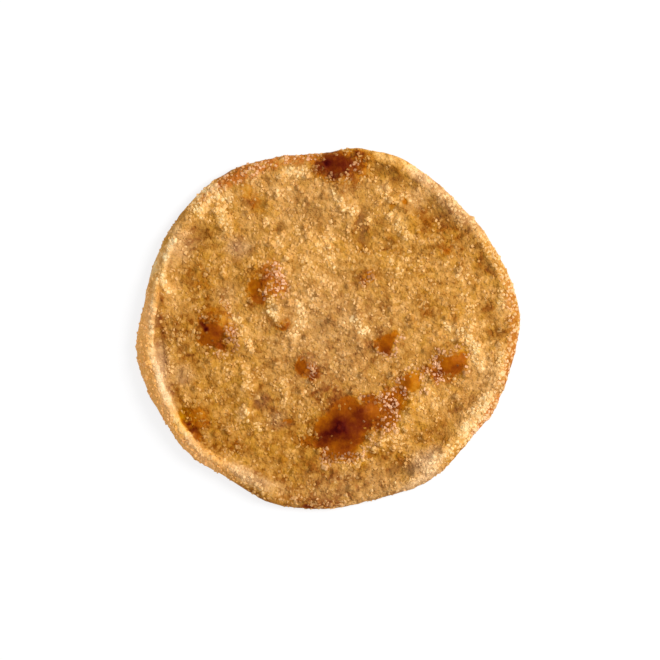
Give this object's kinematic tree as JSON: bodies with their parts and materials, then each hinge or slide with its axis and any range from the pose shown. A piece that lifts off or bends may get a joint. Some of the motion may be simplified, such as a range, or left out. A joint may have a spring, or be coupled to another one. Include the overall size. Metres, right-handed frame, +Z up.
{
  "type": "olive oil biscuit",
  "caption": "Thin, crisp, hand-pressed round olive oil biscuit with a pinched rim, browned bubbles and a baked-on sugar crust.",
  "frame": {"origin": "under the middle of the disc, on the surface that the biscuit lies on", "axes": "+Z up out of the sugared face, +X to the right and +Y to the top of the biscuit as seen from above"},
  "size_m": [0.1001, 0.0943, 0.0061],
  "materials": {
    "baked_dough": "matte"
  },
  "bodies": {
    "root": {"biscuit": "baked_dough"}
  },
  "joints": []
}
